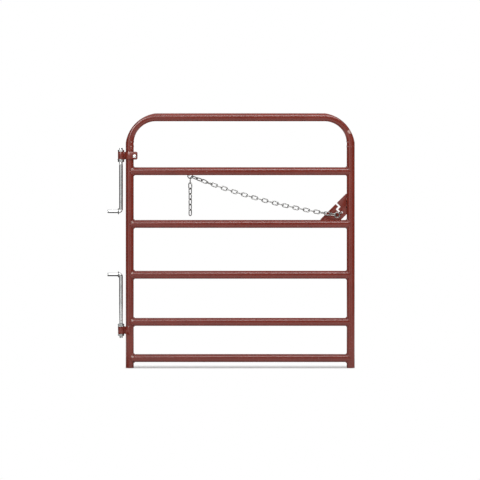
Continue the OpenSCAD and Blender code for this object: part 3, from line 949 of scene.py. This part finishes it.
# Cards that only reflections see: walls by their two ends and foot, floor patches by their sides
DARK_CARD = (0.03, 0.03, 0.03, 1.0)
GREY_CARD = (0.14, 0.14, 0.14, 1.0)
CARD_TOP = 6.0
CARD_FOOT = 0.0004
WALL_CARDS = (
    ("front_flag", (-0.6, -9.3), (2.2, -9.3), 0.0),
    ("front_high_flag", (2.2, -9.3), (3.4, -9.3), 0.8),
    ("right_flag", (4.5, -6.0), (4.5, 6.0), 0.0),
    ("back_right_flag", (4.5, 6.0), (2.2, 7.0), 0.0),
    ("back_flag", (1.0, 7.0), (-1.0, 7.0), 0.0),
    ("back_left_flag", (-2.2, 7.0), (-4.5, 6.0), 0.0),
    ("left_flag", (-4.5, 6.0), (-4.5, -3.5), 0.0),
)
FLAT_CARDS = (
    ("floor_flag", (-1.0, 1.0), (0.0, 3.5), CARD_FOOT),
    ("hinge_floor_flag", (-1.3, -0.553), (-0.62, 0.0), CARD_FOOT),
    ("front_floor_flag", (-0.5, 0.58), (-9.3, -1.8), CARD_FOOT),
    ("ceiling_flag", (-0.5, 4.5), (1.0, 7.0), CARD_TOP),
)

CAMERA_X = 0.0464
CAMERA_Z = 0.6635
CAMERA_AWAY = 8
CAMERA_LENS = 115.6
CAMERA_SENSOR = 36
CAMERA_REACH = 100


def floor_finish():
    """White studio floor that keeps the gate's shadow near it, darkened there by a painted shadow, and
    fades to plain white further off.
    """
    material, tree, shader, place = new_finish("studio_floor")
    shader.inputs["Roughness"].default_value = FLOOR_ROUGH
    shader.inputs["Specular IOR Level"].default_value = 0.0
    apart = tree.nodes.new("ShaderNodeSeparateXYZ")
    tree.links.new(place, apart.inputs[0])
    off = calc(tree, "ABSOLUTE", calc(tree, "SUBTRACT", apart.outputs["Y"], SHADOW_Y))
    wide = calc(tree, "ABSOLUTE", calc(tree, "SUBTRACT", apart.outputs["X"], SHADOW_X))
    far = calc(tree, "MAXIMUM", span(tree, off, *FADE_Y), span(tree, wide, *FADE_X))
    # painted shadow: the floor's colour is grey near the gate and white further off
    tree.links.new(mix_colour(tree, far, FLOOR_SHADOW_TONE, FLOOR_FAR), shader.inputs["Base Color"])
    glow = tree.nodes.new("ShaderNodeEmission")
    blend = tree.nodes.new("ShaderNodeMixShader")
    tree.links.new(calc(tree, "MULTIPLY", seen_directly(tree), far), blend.inputs[0])
    tree.links.new(shader.outputs[0], blend.inputs[1])
    tree.links.new(glow.outputs[0], blend.inputs[2])
    tree.links.new(blend.outputs[0], tree.nodes["Material Output"].inputs["Surface"])
    return material


def studio_floor():
    clear_selection()
    bpy.ops.mesh.primitive_plane_add(size=FLOOR_SIZE, location=(0, 0, FLOOR_Z))
    floor = take_new("studio_floor")
    floor.data.materials.append(floor_finish())


def studio_world():
    """Even light from all round, seen as plain white."""
    world = bpy.data.worlds.new("studio")
    bpy.context.scene.world = world
    world.use_nodes = True
    tree = world.node_tree
    plain = tree.nodes["Background"]
    plain.inputs["Strength"].default_value = WORLD_STRENGTH
    plain.inputs["Color"].default_value = WHITE
    white = tree.nodes.new("ShaderNodeBackground")
    white.inputs["Color"].default_value = WHITE
    blend = tree.nodes.new("ShaderNodeMixShader")
    tree.links.new(seen_directly(tree), blend.inputs[0])
    tree.links.new(plain.outputs[0], blend.inputs[1])
    tree.links.new(white.outputs[0], blend.inputs[2])
    tree.links.new(blend.outputs[0], tree.nodes["World Output"].inputs["Surface"])


def softbox(name, size, energy, place, target):
    """A rectangular lamp that shines on a target and isn't seen itself."""
    lamp = bpy.data.lights.new(name, "AREA")
    lamp.shape = "RECTANGLE"
    lamp.size, lamp.size_y = size
    lamp.energy = energy
    box = put_in_scene(name, lamp)
    box.location = place
    aim = Vector(target) - Vector(place)
    box.rotation_euler = aim.to_track_quat("-Z", "Y").to_euler()
    box.visible_camera = False
    return box


def studio_lamps():
    """The main light, light from above that isn't reflected, and a reflection for the left bend."""
    softbox(
        "overhead_softbox", size=(2.6, 0.6), energy=44,
        place=(0.7, -1.9, 3.0), target=(0.0, 0.0, 0.6))
    bounce = softbox(
        "ceiling_bounce", size=(3.0, 1.6), energy=36,
        place=(0.0, 0.2, 3.6), target=(0.0, 0.2, 0.0))
    bounce.visible_glossy = False
    glint = softbox(
        "corner_softbox", size=(1.3, 0.7), energy=40,
        place=(-1.52, -3.17, 2.30), target=(-0.47, 0.0, 1.25))
    glint.visible_diffuse = False


def card_finish(name, colour):
    material = bpy.data.materials.new(name)
    material.use_nodes = True
    shader = material.node_tree.nodes["Principled BSDF"]
    shader.inputs["Base Color"].default_value = colour
    shader.inputs["Specular IOR Level"].default_value = 0.0
    return material


def studio_cards():
    """Dark cards round the gate, which give paint and zinc their dark edges."""
    dark = card_finish("dark_card", DARK_CARD)
    grey = card_finish("grey_card", GREY_CARD)
    cards = [(name, ((*a, foot), (*b, foot), (*a, CARD_TOP), (*b, CARD_TOP)))
             for name, a, b, foot in WALL_CARDS]
    cards += [(name, ((left, near, z), (right, near, z), (left, back, z), (right, back, z)))
              for name, (left, right), (near, back), z in FLAT_CARDS]
    for name, corners in cards:
        clear_selection()
        bpy.ops.mesh.primitive_plane_add(size=1)
        card = take_new(name)
        for vertex, corner in zip(card.data.vertices, corners):
            vertex.co = corner
        card.data.materials.append(grey if name == "floor_flag" else dark)
        card.visible_camera = False
        card.visible_diffuse = False
        card.visible_shadow = False
        card.visible_transmission = False


def front_camera():
    lens = bpy.data.cameras.new("front_camera")
    lens.lens = CAMERA_LENS
    lens.sensor_width = CAMERA_SENSOR
    lens.clip_end = CAMERA_REACH
    camera = put_in_scene("front_camera", lens)
    camera.location = (CAMERA_X, MID_Y - CAMERA_AWAY, CAMERA_Z)
    camera.rotation_euler = (math.radians(90), 0, 0)
    bpy.context.scene.camera = camera


studio_floor()
studio_world()
studio_lamps()
studio_cards()
front_camera()
bpy.context.scene.view_settings.view_transform = "Standard"

clear_selection()
